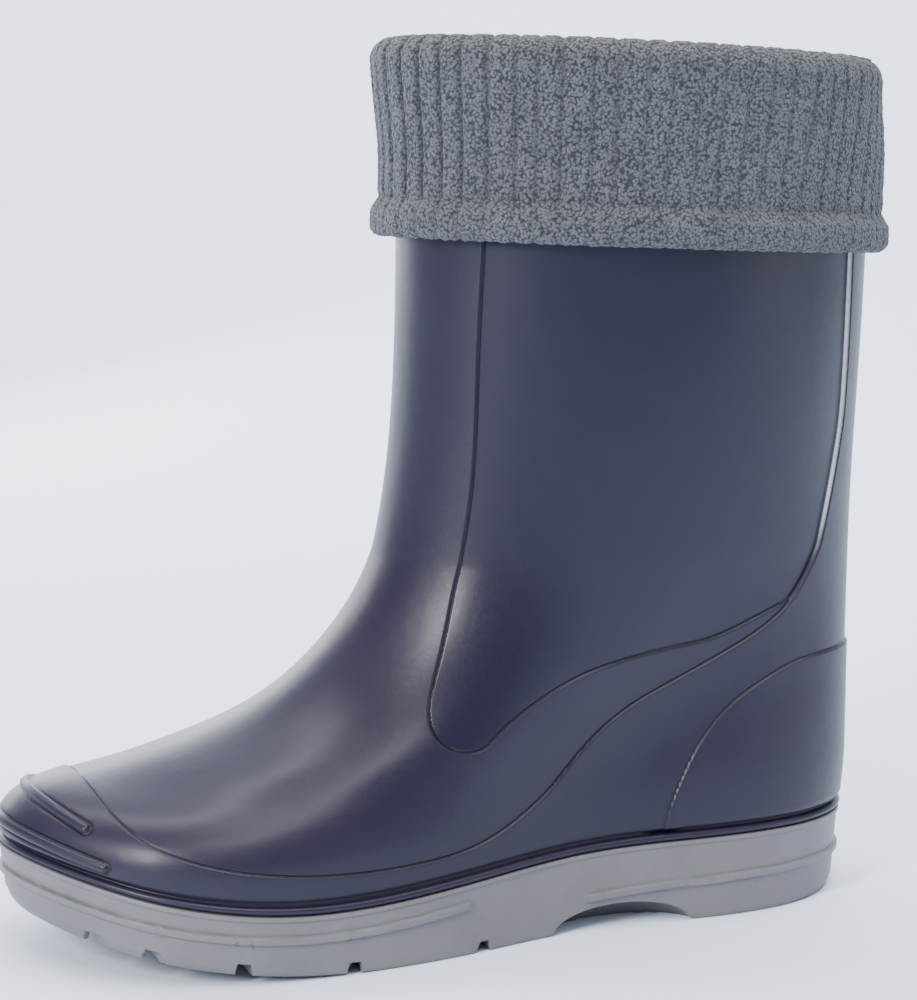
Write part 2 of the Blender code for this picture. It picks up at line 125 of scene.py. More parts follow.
# lines of the relief in side view: place along the sole, height (1 at the instep, 2 at the collar)
guardLine = np.array((
    (0.054, 1.90), (0.052, 1.63), (0.050, 1.35), (0.057, 1.21), (0.078, 1.04), (0.099, 0.92),
    (0.130, 0.80), (0.173, 0.71), (0.220, 0.64), (0.274, 0.568), (0.320, 0.508), (0.359, 0.439),
    (0.388, 0.368), (0.411, 0.300), (0.436, 0.235), (0.465, 0.183), (0.494, 0.145), (0.530, 0.117),
    (0.575, 0.107), (0.640, 0.110), (0.710, 0.119), (0.760, 0.128), (0.807, 0.139), (0.850, 0.158),
    (0.884, 0.190), (0.903, 0.235), (0.912, 0.285), (0.921, 0.330),
))
guardClosing = ((0.93, 0.8), (1.2, 0.8), (1.2, -0.1), (-0.2, -0.1), (-0.2, 1.90))
counterLine = np.array((
    (0.000, 0.612), (0.066, 0.608), (0.115, 0.592), (0.156, 0.546), (0.187, 0.496), (0.216, 0.430),
    (0.245, 0.328), (0.266, 0.220), (0.279, 0.130), (0.288, 0.030),
))
counterClosing = ((0.288, -0.1), (-0.2, -0.1), (-0.2, 0.612))
panelLine = np.array((
    (0.492, 1.90), (0.495, 1.65), (0.499, 1.44), (0.505, 1.18), (0.522, 0.97), (0.539, 0.79),
    (0.557, 0.65), (0.567, 0.570), (0.568, 0.505), (0.558, 0.458), (0.540, 0.428), (0.520, 0.422),
    (0.505, 0.442), (0.480, 0.500), (0.445, 0.562), (0.410, 0.612), (0.370, 0.650), (0.320, 0.674),
    (0.270, 0.690), (0.225, 0.708), (0.180, 0.755), (0.140, 0.80),
))
panelClosing = ((0.03, 0.95), (0.03, 1.90))


def smoothThrough(places, values, wanted):
    # natural cubic spline, as in the CAD
    places = np.asarray(places, float)
    values = np.asarray(values, float)
    gap = np.diff(places)
    count = len(places)
    system = np.eye(count)
    right = np.zeros(count)
    for i in range(1, count - 1):
        system[i, i - 1:i + 2] = gap[i - 1], 2.0 * (gap[i - 1] + gap[i]), gap[i]
        right[i] = 6.0 * ((values[i + 1] - values[i]) / gap[i] - (values[i] - values[i - 1]) / gap[i - 1])
    curve = np.linalg.solve(system, right)
    wanted = np.clip(np.asarray(wanted, float), places[0], places[-1])
    i = np.clip(np.searchsorted(places, wanted) - 1, 0, count - 2)
    left = (places[i + 1] - wanted) / gap[i]
    rest = 1.0 - left
    bent = ((left ** 3 - left) * curve[i] + (rest ** 3 - rest) * curve[i + 1]) * gap[i] ** 2 / 6.0
    return left * values[i] + rest * values[i + 1] + bent


def outlineRoundness(along):
    places, half = outlineTable[1:-1, 0], outlineTable[1:-1, 1]
    roundAt = half / np.sqrt(places * (1.0 - places))
    places = np.concatenate([[0.0], places, [1.0]])
    roundAt = np.concatenate([[roundAt[0] * 1.04], roundAt, [roundAt[-1] * 0.93]])
    return smoothThrough(places, roundAt, along)


def outlineBend(along):
    return smoothThrough(outlineTable[:, 0], outlineTable[:, 2], along)


def soleThickness(along):
    size = bootSize
    values = (size["heelThickness"], size["heelThickness"], size["waistThickness"],
              size["ballThickness"], size["toeThickness"])
    return smoothThrough((0.0, 0.25, 0.50, 0.72, 1.0), values, along)


def spring(along):
    start = bootSize["springStart"]
    return bootSize["toeSpring"] * np.clip((np.asarray(along) - start) / (1.0 - start), 0.0, 1.0) ** 2


def soleTop(along):
    return soleThickness(along) + spring(along)


def outlineRing(turn, out=None):
    along = (1.0 - np.cos(turn)) / 2.0
    x = along * bootSize["soleLength"]
    y = (outlineRoundness(along) * np.sin(turn) / 2.0 + outlineBend(along)) * bootSize["ballWidth"]
    if out is not None:
        ahead = np.stack(outlineRing(turn + 1e-3))
        behind = np.stack(outlineRing(turn - 1e-3))
        tangent = ahead - behind
        tangent /= np.linalg.norm(tangent, axis=0)
        x = x - tangent[1] * out
        y = y + tangent[0] * out
    return x, y


def ringValue(name, level):
    return smoothThrough(np.arange(len(ringTable)), ringTable[:, ringColumns.index(name)], level)


def heightOf(up, along):
    low = soleTop(np.clip(along, 0.0, 1.0))
    foot = low + np.minimum(up, 1.0) * (bootSize["instepHeight"] - low)
    return foot + np.maximum(up - 1.0, 0.0) * (bootSize["collarHeight"] - bootSize["instepHeight"])


def upperSkin(turn, level):
    # turn runs round the foot from the heel, level from the margin (0) to the collar
    turn, level = np.broadcast_arrays(np.asarray(turn, float), np.asarray(level, float))
    rear = ringValue("rearAlong", level)
    front = ringValue("frontAlong", level)
    along = (1.0 - np.cos(turn)) / 2.0
    share = rear + (front - rear) * along
    rearUp = ringValue("rearUp", level)
    up = rearUp + (ringValue("frontUp", level) - rearUp) * along
    oval = np.clip(ringValue("oval", level), 0.0, 1.0)
    heel = ringValue("heel", level)
    footRound = outlineRoundness(along) * (heel + (ringValue("fore", level) - heel) * along)
    girth = ringValue("girth", level)
    width = bootSize["ankleWidth"] + (bootSize["shaftWidth"] - bootSize["ankleWidth"]) * girth
    roundAt = footRound * bootSize["ballWidth"] * (1.0 - oval) + width * oval
    bend = outlineBend(along) * bootSize["ballWidth"] * (1.0 - oval)
    x = share * bootSize["soleLength"] - bootSize["heelSeat"]
    y = roundAt * np.sin(turn) / 2.0 + bend
    return np.stack([x, y, heightOf(up, share)], -1)


def upperNormal(turn, level):
    turn = np.asarray(turn, float)
    level = np.asarray(level, float)
    roundStep = upperSkin(turn + 1e-3, level) - upperSkin(turn - 1e-3, level)
    above = np.minimum(level + 1e-3, topLevel)
    below = np.maximum(level - 1e-3, 0.0)
    upStep = upperSkin(turn, above) - upperSkin(turn, below)
    normal = np.cross(upStep, roundStep)
    return normal / np.linalg.norm(normal, axis=-1, keepdims=True)


def upperFace(turn, level, out):
    return upperSkin(turn, level) + upperNormal(turn, level) * np.asarray(out, float)[..., None]


def collarRing(turn, below, out):
    # a ring that hangs below the collar's rim by a distance, or stands above it
    scale = np.linspace(topLevel - 4.0, topLevel, 200)
    drops = (2.0 - ringValue("rearUp", scale)) * (bootSize["collarHeight"] - bootSize["instepHeight"])
    level = np.interp(np.maximum(below, 0.0), drops[::-1], scale[::-1])
    ring = upperFace(turn, level * np.ones_like(turn), out * np.ones_like(turn))
    ring[..., 2] = upperSkin(turn, topLevel)[..., 2] - below
    return ring


def distanceToLine(points, line):
    nearest = np.full(len(points), 1e9)
    towards = np.zeros_like(points)
    for start, stop in zip(line[:-1], line[1:]):
        run = stop - start
        share = np.clip((points - start) @ run / (run @ run), 0.0, 1.0)
        away = points - start - share[:, None] * run
        distance = np.linalg.norm(away, axis=1)
        nearer = distance < nearest
        nearest[nearer] = distance[nearer]
        towards[nearer] = away[nearer]
    return nearest, towards / np.maximum(nearest, 1e-9)[:, None]


def insideOutline(points, outline):
    inside = np.zeros(len(points), bool)
    for (x0, z0), (x1, z1) in zip(outline, np.roll(outline, -1, axis=0)):
        if z0 == z1:
            continue
        crosses = (z0 > points[:, 1]) != (z1 > points[:, 1])
        inside ^= crosses & (points[:, 0] < x0 + (points[:, 1] - z0) / (z1 - z0) * (x1 - x0))
    return inside


def sidePoints(rows):
    rows = np.asarray(rows, float)
    x = rows[:, 0] * bootSize["soleLength"] - bootSize["heelSeat"]
    return np.stack([x, heightOf(rows[:, 1], rows[:, 0])], -1)


def edgeDistance(points, normals, line, closing):
    # distance over the surface to a relief line, positive inside its region, in metres
    places = np.arange(len(line))
    wanted = np.linspace(0, len(line) - 1, 6 * len(line))
    smooth = np.stack([smoothThrough(places, line[:, k], wanted) for k in (0, 1)], -1)
    curve = sidePoints(smooth)
    outline = np.concatenate([curve, sidePoints(closing)])
    flat = points[:, (0, 2)]
    distance, towards = distanceToLine(flat, curve)
    lean = towards[:, 0] * normals[:, 0] + towards[:, 1] * normals[:, 2]
    distance = distance / np.sqrt(np.maximum(1.0 - lean ** 2, 0.1))
    return np.where(insideOutline(flat, outline), distance, -distance)


# Mesh helpers

def showMesh(name, mesh, surface):
    mesh.materials.append(surface)
    mesh.shade_smooth()
    made = bpy.data.objects.new(name, mesh)
    bpy.context.scene.collection.objects.link(made)
    return made


def gridMesh(name, grid, closeRows=False, closeColumns=True, values=None):
    # a mesh over a grid of points, rows by columns, with named values kept at its points
    rows, columns = grid.shape[:2]
    i = np.arange(rows if closeRows else rows - 1)[:, None]
    j = np.arange(columns if closeColumns else columns - 1)[None, :]
    corner = [i % rows * columns + j % columns, i % rows * columns + (j + 1) % columns,
              (i + 1) % rows * columns + (j + 1) % columns, (i + 1) % rows * columns + j % columns]
    faces = np.stack([np.broadcast_to(c, (i.size, j.size)) for c in corner], -1).reshape(-1, 4)
    mesh = bpy.data.meshes.new(name)
    mesh.from_pydata(grid.reshape(-1, 3).tolist(), [], faces.tolist())
    for key, value in (values or {}).items():
        layer = mesh.attributes.new(key, "FLOAT", "POINT")
        layer.data.foreach_set("value", value.astype(np.float32).ravel())
    return mesh


def gridNormals(grid):
    roundStep = np.roll(grid, -1, 1) - np.roll(grid, 1, 1)
    upStep = np.gradient(grid, axis=0)
    normal = np.cross(roundStep, upStep)
    return normal / np.maximum(np.linalg.norm(normal, axis=-1, keepdims=True), 1e-12)


def blend(low, high, value):
    t = np.clip((value - low) / (high - low), 0.0, 1.0)
    return t * t * (3.0 - 2.0 * t)


# Material helpers

def colour(code):
    # sRGB hex to linear
    parts = [int(code[k:k + 2], 16) / 255.0 for k in (1, 3, 5)]
    return (*[p / 12.92 if p <= 0.04045 else ((p + 0.055) / 1.055) ** 2.4 for p in parts], 1.0)


def addNode(tree, kind, settings=None, links=None):
    node = tree.nodes.new(kind)
    for key, value in (settings or {}).items():
        if isinstance(key, str) and hasattr(node, key):
            setattr(node, key, value)
        else:
            node.inputs[key].default_value = value
    for key, source in (links or {}).items():
        tree.links.new(source, node.inputs[key])
    return node.outputs


def newSurface(name, shaderSettings):
    made = bpy.data.materials.new(name)
    made.use_nodes = True
    tree = made.node_tree
    shader = tree.nodes["Principled BSDF"]
    for key, value in shaderSettings.items():
        shader.inputs[key].default_value = value
    place = addNode(tree, "ShaderNodeTexCoord")["Object"]
    return made, tree, shader, place


def grains(size):
    # texture scale for a pattern of a real size in metres
    return 1.0 / size


# Navy PVC, injection moulded in a sandblasted tool: satin skin with a very fine matte
# grain, drawn as coarse as it needs to show; the tool's polished side panel leaves a
# darker, glossier face
navyPvc = {
    "satin": "#1a172a",
    "worn": "#1e1a2d",
    "panel": "#161328",
    # painted shade: near-black mixed into the grooves and seams
    "creaseShade": "#08080f",
    # painted highlight: near-white line along the guard's edge behind the panel
    "edgeHighlight": "#dcdce6",
    "edgeHighlightPlace": 0.06,
    "edgeHighlightReach": 0.20,
    "satinRoughness": 0.40,
    "panelRoughness": 0.34,
    "grain": 0.32 * mm,
    "clouds": 22 * mm,
    "ripple": 7 * mm,
}


def navyPvcMoulded():
    look = navyPvc
    made, tree, shader, place = newSurface("navyPvcMoulded", {
        "IOR": 1.48,
        "Specular IOR Level": 0.33,
        "Coat Weight": 0.05,
        "Coat Roughness": 0.22,
    })
    panelEdge = addNode(tree, "ShaderNodeAttribute", {"attribute_name": "panelEdge"})["Fac"]
    guardEdge = addNode(tree, "ShaderNodeAttribute", {"attribute_name": "guardEdge"})["Fac"]
    creaseDepth = addNode(tree, "ShaderNodeAttribute", {"attribute_name": "creaseShade"})["Fac"]
    panelIn = addNode(tree, "ShaderNodeMapRange", {1: 0.0, 2: 0.4}, {0: panelEdge})[0]
    guardOut = addNode(tree, "ShaderNodeMapRange", {1: 0.0, 2: -0.3}, {0: guardEdge})[0]
    polished = addNode(tree, "ShaderNodeMath", {"operation": "MULTIPLY"}, {0: panelIn, 1: guardOut})[0]
    clouds = addNode(tree, "ShaderNodeTexNoise", {"Scale": grains(look["clouds"]), "Detail": 3.0},
                     {"Vector": place})[0]
    cloudy = addNode(tree, "ShaderNodeMapRange", {1: 0.35, 2: 0.7}, {0: clouds})[0]
    grain = addNode(tree, "ShaderNodeTexNoise", {"Scale": grains(look["grain"]), "Detail": 2.0},
                    {"Vector": place})[0]
    satin = addNode(tree, "ShaderNodeMix",
                    {"data_type": "RGBA", 6: colour(look["satin"]), 7: colour(look["worn"])},
                    {0: cloudy})[2]
    speckle = addNode(tree, "ShaderNodeMapRange", {1: 0.3, 2: 0.7, 3: 0.90, 4: 1.10}, {0: grain})[0]
    satin = addNode(tree, "ShaderNodeMix", {"data_type": "RGBA", 7: colour(look["panel"])},
                    {0: polished, 6: satin})[2]
    satin = addNode(tree, "ShaderNodeVectorMath", {"operation": "SCALE"}, {0: satin, "Scale": speckle})[0]
    # painted shade: darker in the seam grooves, beside the toe bars and in the groove over the bead
    dark = addNode(tree, "ShaderNodeMix", {"data_type": "RGBA", 7: colour(look["creaseShade"])},
                   {0: creaseDepth, 6: satin})[2]
    # painted highlight: near-white along the guard's proud edge behind the panel, where light would catch
    # it
    behindPanel = addNode(tree, "ShaderNodeAttribute", {"attribute_name": "behindPanel"})["Fac"]
    off = addNode(tree, "ShaderNodeMath", {"operation": "SUBTRACT", 1: look["edgeHighlightPlace"]},
                  {0: guardEdge})[0]
    off = addNode(tree, "ShaderNodeMath", {"operation": "ABSOLUTE"}, {0: off})[0]
    edgeHighlight = addNode(tree, "ShaderNodeMapRange", {1: look["edgeHighlightReach"], 2: 0.0, 4: 0.9}, {0: off})[0]
    edgeHighlight = addNode(tree, "ShaderNodeMath", {"operation": "MULTIPLY"}, {0: edgeHighlight, 1: behindPanel})[0]
    dark = addNode(tree, "ShaderNodeMix", {"data_type": "RGBA", 7: colour(look["edgeHighlight"])},
                   {0: edgeHighlight, 6: dark})[2]
    tree.links.new(dark, shader.inputs["Base Color"])
    rough = addNode(tree, "ShaderNodeMapRange", {3: look["satinRoughness"], 4: look["panelRoughness"]},
                    {0: polished})[0]
    roughGrain = addNode(tree, "ShaderNodeMapRange", {1: 0.3, 2: 0.7, 3: -0.05, 4: 0.05}, {0: grain})[0]
    rough = addNode(tree, "ShaderNodeMath", {"operation": "ADD"}, {0: rough, 1: roughGrain})[0]
    tree.links.new(rough, shader.inputs["Roughness"])
    ripple = addNode(tree, "ShaderNodeTexNoise", {"Scale": grains(look["ripple"]), "Detail": 2.0},
                     {"Vector": place})[0]
    soft = addNode(tree, "ShaderNodeBump", {"Strength": 0.25, "Distance": 0.0005}, {"Height": ripple})[0]
    strength = addNode(tree, "ShaderNodeMapRange", {3: 0.50, 4: 0.10}, {0: polished})[0]
    fine = addNode(tree, "ShaderNodeBump", {"Distance": 0.00006},
                   {"Height": grain, "Normal": soft, "Strength": strength})[0]
    tree.links.new(fine, shader.inputs["Normal"])
    return made


# Grey foamed PVC, injected round the upper's margin: warm, chalky satin with a fine skin grain
greyPvc = {
    "pale": "#6b686c",
    "deep": "#646265",
    # painted shade: darker colour in the tread's grooves, round the side ribs and under the lip
    "channel": "#504e52",
    "grain": 0.35 * mm,
    "clouds": 16 * mm,
}


def greyPvcMoulded():
    look = greyPvc
    made, tree, shader, place = newSurface("greyPvcMoulded", {
        "IOR": 1.5,
        "Coat Weight": 0.05,
        "Coat Roughness": 0.3,
    })
    clouds = addNode(tree, "ShaderNodeTexNoise", {"Scale": grains(look["clouds"]), "Detail": 4.0},
                     {"Vector": place})[0]
    cloudy = addNode(tree, "ShaderNodeMapRange", {1: 0.35, 2: 0.65}, {0: clouds})[0]
    grain = addNode(tree, "ShaderNodeTexNoise", {"Scale": grains(look["grain"]), "Detail": 2.0},
                    {"Vector": place})[0]
    base = addNode(tree, "ShaderNodeMix",
                   {"data_type": "RGBA", 6: colour(look["deep"]), 7: colour(look["pale"])},
                   {0: cloudy})[2]
    speckle = addNode(tree, "ShaderNodeMapRange", {1: 0.3, 2: 0.7, 3: 0.93, 4: 1.07}, {0: grain})[0]
    base = addNode(tree, "ShaderNodeVectorMath", {"operation": "SCALE"}, {0: base, "Scale": speckle})[0]
    # painted shade in the grooves, round the ribs and under the lip
    creaseDepth = addNode(tree, "ShaderNodeAttribute", {"attribute_name": "creaseShade"})["Fac"]
    base = addNode(tree, "ShaderNodeMix", {"data_type": "RGBA", 7: colour(look["channel"])},
                   {0: creaseDepth, 6: base})[2]
    tree.links.new(base, shader.inputs["Base Color"])
    rough = addNode(tree, "ShaderNodeMapRange", {1: 0.3, 2: 0.7, 3: 0.42, 4: 0.56}, {0: grain})[0]
    tree.links.new(rough, shader.inputs["Roughness"])
    fine = addNode(tree, "ShaderNodeBump", {"Strength": 0.5, "Distance": 0.00006}, {"Height": grain})[0]
    tree.links.new(fine, shader.inputs["Normal"])
    return made


# Heathered grey polyester fleece, knitted in ribs: soft matte loops about a millimetre
# across, with painted shade between the loops and in the gaps of the ribs, and a pale fuzz at
# grazing angles; the yarn is drawn coarser than it is, so that it shows
greyFleece = {
    "loop": "#646569",
    "fibre": "#3d3e43",
    # painted shade: colour of the gaps between the loops and the ribs
    "gap": "#191b1f",
    "fuzz": "#b9c0c6",
    "loopSize": 0.72 * mm,
    "fibreSize": 0.30 * mm,
    "clouds": 9 * mm,
}


def greyFleeceKnitted(name="greyFleeceKnitted", light=1.0):
    look = greyFleece
    made, tree, shader, place = newSurface(name, {
        "Roughness": 0.95,
        "IOR": 1.45,
        "Specular IOR Level": 0.2,
        "Sheen Weight": 0.30,
        "Sheen Roughness": 0.55,
        "Sheen Tint": colour(look["fuzz"]),
    })
    waver = addNode(tree, "ShaderNodeTexNoise", {"Scale": grains(1.3 * mm), "Detail": 2.0},
                    {"Vector": place})[1]
    shift = addNode(tree, "ShaderNodeVectorMath", {"operation": "SCALE", "Scale": 0.0005}, {0: waver})[0]
    moved = addNode(tree, "ShaderNodeVectorMath", {"operation": "ADD"}, {0: place, 1: shift})[0]
    cell = addNode(tree, "ShaderNodeTexVoronoi",
                   {"feature": "SMOOTH_F1", "Scale": grains(look["loopSize"]),
                                                  "Smoothness": 0.35}, {"Vector": moved})
    loop = addNode(tree, "ShaderNodeMapRange", {1: 0.75, 2: 0.12}, {0: cell["Distance"]})[0]
    fibre = addNode(tree, "ShaderNodeTexNoise", {"Scale": grains(look["fibreSize"]), "Detail": 3.0},
                    {"Vector": place})[0]
    clouds = addNode(tree, "ShaderNodeTexNoise", {"Scale": grains(look["clouds"]), "Detail": 3.0},
                     {"Vector": place})[0]
    mixed = addNode(tree, "ShaderNodeMapRange", {1: 0.35, 2: 0.65, 3: -0.25, 4: 0.25}, {0: fibre})[0]
    bright = addNode(tree, "ShaderNodeMath", {"operation": "ADD", "use_clamp": True},
                     {0: loop, 1: mixed})[0]
    heather = addNode(tree, "ShaderNodeMix",
                      {"data_type": "RGBA", 6: colour(look["fibre"]), 7: colour(look["loop"])},
                      {0: bright})[2]
    # the lining's copy is darker by this factor: painted shade inside the shaft
    tone = addNode(tree, "ShaderNodeMapRange", {1: 0.3, 2: 0.7, 3: 0.90 * light, 4: 1.08 * light},
                   {0: clouds})[0]
    heather = addNode(tree, "ShaderNodeVectorMath", {"operation": "SCALE"},
                      {0: heather, "Scale": tone})[0]
    # painted shade between the loops and in the rib gaps
    loopShade = addNode(tree, "ShaderNodeMapRange", {1: 0.34, 2: 0.04, 3: 0.0, 4: 0.7}, {0: bright})[0]
    creaseDepth = addNode(tree, "ShaderNodeAttribute", {"attribute_name": "creaseShade"})["Fac"]
    deep = addNode(tree, "ShaderNodeMath", {"operation": "MAXIMUM"}, {0: loopShade, 1: creaseDepth})[0]
    cloth = addNode(tree, "ShaderNodeMix", {"data_type": "RGBA", 7: colour(look["gap"])},
                    {0: deep, 6: heather})[2]
    tree.links.new(cloth, shader.inputs["Base Color"])
    height = addNode(tree, "ShaderNodeMath", {"operation": "MULTIPLY_ADD", 1: 0.3},
                     {0: fibre, 2: loop})[0]
    bump = addNode(tree, "ShaderNodeBump", {"Strength": 0.9, "Distance": 0.0005}, {"Height": height})[0]
    tree.links.new(bump, shader.inputs["Normal"])
    return made


# Needle-punched polyester felt of the footbed: flat, matte, with short crossed fibres
greyFelt = {
    "deep": "#54585c",
    "pale": "#7d8286",
    "fibre": 0.6 * mm,
}


def greyFeltPunched():
    look = greyFelt
    made, tree, shader, place = newSurface("greyFeltPunched", {"Roughness": 0.95, "Sheen Weight": 0.2})
    fibre = addNode(tree, "ShaderNodeTexNoise", {"Scale": grains(look["fibre"]), "Detail": 4.0},
                    {"Vector": place})[0]
    blendIn = addNode(tree, "ShaderNodeMapRange", {1: 0.35, 2: 0.65}, {0: fibre})[0]
    base = addNode(tree, "ShaderNodeMix",
                   {"data_type": "RGBA", 6: colour(look["deep"]), 7: colour(look["pale"])},
                   {0: blendIn})[2]
    tree.links.new(base, shader.inputs["Base Color"])
    bump = addNode(tree, "ShaderNodeBump", {"Strength": 0.6, "Distance": 0.0003}, {"Height": fibre})[0]
    tree.links.new(bump, shader.inputs["Normal"])
    return made


# Upper

upperPiece = {
    "columns": 260,
    "beadRows": 11,
    "footRows": 50,
    "shaftRows": 44,
    "insideRows": 14,
    "beadHeight": 1.9 * mm,
    "beadProud": 1.3 * mm,
    "grooveDepth": 0.6 * mm,
    "panelRecess": 0.6 * mm,
    "guardStep": 0.6 * mm,
    "counterStep": 1.2 * mm,
    "edgeRound": 0.38 * mm,
    "seamDepth": 0.32 * mm,
    "seamWidth": 0.17 * mm,
    "seamPlace": 0.12 * mm,       # how far the groove lies from the step
    "barSeamPlace": 0.2 * mm,
    "barSeamWidth": 0.3 * mm,
    "highlightFrom": 0.085,        # heights between which the painted highlight on the guard's edge fades in
    "highlightTo": 0.105,
    "bottomLevel": 0.46,          # where the outer face starts, in the groove over the bead
    "grooveTopLevel": 0.75,
    "ankleLevel": 9.0,
    "barWidth": 2.3 * mm,
    "barStep": 1.0 * mm,
    "fineBands": ((2.0 * mm, 1), (0.8 * mm, 2)),
}

# toe bars: turn of their ends in degrees, level at the ends, level over the toe's tip
toeBars = ((147.0, 1.00, 1.30), (153.0, 2.20, 2.72))


def roundedStep(distance, width):
    return np.sin(np.clip(distance / width, 0.0, 1.0) * pi / 2)


def seam(distance, centre, width):
    return np.exp(-((distance - centre) / width) ** 2)


def toeBarDistance(points):
    nearest = np.full(len(points), 1e9)
    front = points[:, 0] > 0.75 * bootSize["soleLength"] - bootSize["heelSeat"]
    for turn, endLevel, tipLevel in toeBars:
        turns = np.radians(np.linspace(turn, 360.0 - turn, 60))
        reach = (pi - turns) / (pi - np.radians(turn))
        line = upperSkin(turns, tipLevel + (endLevel - tipLevel) * reach ** 2)
        distance = distanceToLine(points[front], line)[0]
        nearest[front] = np.minimum(nearest[front], distance)
    return nearest


def upperRelief(turn, level):
    # skin, normals, and how far each point stands proud, with the distances that made it
    piece = upperPiece
    points = upperSkin(turn, level)
    normals = upperNormal(turn, level)
    panel = edgeDistance(points, normals, panelLine, panelClosing)
    guard = edgeDistance(points, normals, guardLine, guardClosing)
    counter = edgeDistance(points, normals, counterLine, counterClosing)
    bar = toeBarDistance(points)
    width, deep, narrow = piece["edgeRound"], piece["seamDepth"], piece["seamWidth"]
    height = -piece["panelRecess"] * (1.0 - roundedStep(-panel, width))
    cut = seam(panel, piece["seamPlace"], narrow)
    share = roundedStep(guard, width)
    height = height * (1.0 - share) + piece["guardStep"] * share
    outside = guard < 0.0
    cut = np.where(outside, cut, 0.0)
    cut = np.maximum(cut, seam(guard, -piece["seamPlace"], narrow))
    share = roundedStep(counter, width)
    height = height * (1.0 - share) + piece["counterStep"] * share
    cut = np.maximum(cut, seam(counter, -piece["seamPlace"], narrow) * 0.8)
    across = np.clip(bar / (piece["barWidth"] / 2.0), 0.0, 1.0)
    height = height + piece["barStep"] * np.sqrt(1.0 - across ** 2.5)
    besideBar = seam(bar, piece["barWidth"] / 2.0 + piece["barSeamPlace"], piece["barSeamWidth"])
    cut = np.maximum(cut, besideBar * 0.9)
    height = height - deep * cut
    # where the guard's proud edge gets a painted highlight and less painted seam shade: behind the panel
    behindPanel = blend(-1.0 * mm, 1.0 * mm, panel + guard)
    behindPanel = behindPanel * blend(piece["highlightFrom"], piece["highlightTo"], points[:, 2])
    # painted shade along the seam grooves, less of it where the painted highlight lies
    shade = cut * (0.92 - 0.92 * behindPanel)
    return points, normals, height, {"panelEdge": panel / mm, "guardEdge": guard / mm, "creaseShade": shade,
                                     "behindPanel": behindPanel, "bar": bar,
                                     "reliefEdge": np.min(np.abs([panel, guard, counter]), axis=0)}


def upperGrid():
    # rows of the flat pattern: bead below 0, outer face up to the collar, inner face above it
    piece = upperPiece
    bead = np.linspace(-1.0, 0.0, piece["beadRows"])
    foot = np.linspace(piece["bottomLevel"], piece["ankleLevel"], piece["footRows"])
    shaft = np.linspace(piece["ankleLevel"], topLevel, piece["shaftRows"] + 1)[1:]
    inside = topLevel + np.linspace(0.0, 1.0, piece["insideRows"] + 1)
    return np.concatenate([bead, foot, shaft, inside + 1.0, [topLevel + 3.0]])


def upperPoints(turn, row):
    piece = upperPiece
    points = np.zeros((len(turn), 3))
    values = {"panelEdge": np.full(len(turn), -9.0), "guardEdge": np.full(len(turn), -9.0),
              "creaseShade": np.zeros(len(turn)), "behindPanel": np.zeros(len(turn))}
    margin = upperSkin(turn, 0.0)
    outward = upperNormal(turn, np.full(len(turn), 0.0))
    outward[:, 2] = 0.0
    outward /= np.linalg.norm(outward, axis=1, keepdims=True)
    last = row > topLevel + 2.5
    angle = np.where(last, -pi / 2, -pi / 2 + (row + 1.0) * pi)
    bead = (row < 0.2) | last
    rolled = margin + outward * (piece["beadProud"] * np.cos(angle))[:, None]
    rolled[:, 2] += bootSize["fitGap"] + piece["beadHeight"] * (1.0 + np.sin(angle)) / 2.0
    points[bead] = rolled[bead]
    outer = (row > 0.2) & (row < topLevel + 0.5)
    skin, normals, height, made = upperRelief(turn[outer], row[outer])
    gutter = 1.0 - blend(piece["bottomLevel"], piece["grooveTopLevel"], row[outer])
    height = height * (1.0 - gutter) - piece["grooveDepth"] * gutter
    points[outer] = skin + normals * height[:, None]
    values["panelEdge"][outer] = np.clip(made["panelEdge"], -9.0, 9.0)
    values["guardEdge"][outer] = np.clip(made["guardEdge"], -9.0, 9.0)
    # painted shade in the seams and in the groove over the bead
    values["creaseShade"][outer] = np.maximum(made["creaseShade"], gutter * 0.85)
    values["behindPanel"][outer] = made["behindPanel"] * (1.0 - gutter)
    inner = (row > topLevel + 0.5) & ~last
    level = topLevel - (row[inner] - topLevel - 1.0) * (topLevel - 1.0)
    inside = upperFace(turn[inner], level, np.full(level.shape, -bootSize["wall"]))
    lowest = np.isclose(level, 1.0)
    inside[lowest, 2] = margin[inner][lowest, 2] + bootSize["fitGap"]
    points[inner] = inside
    return points, values


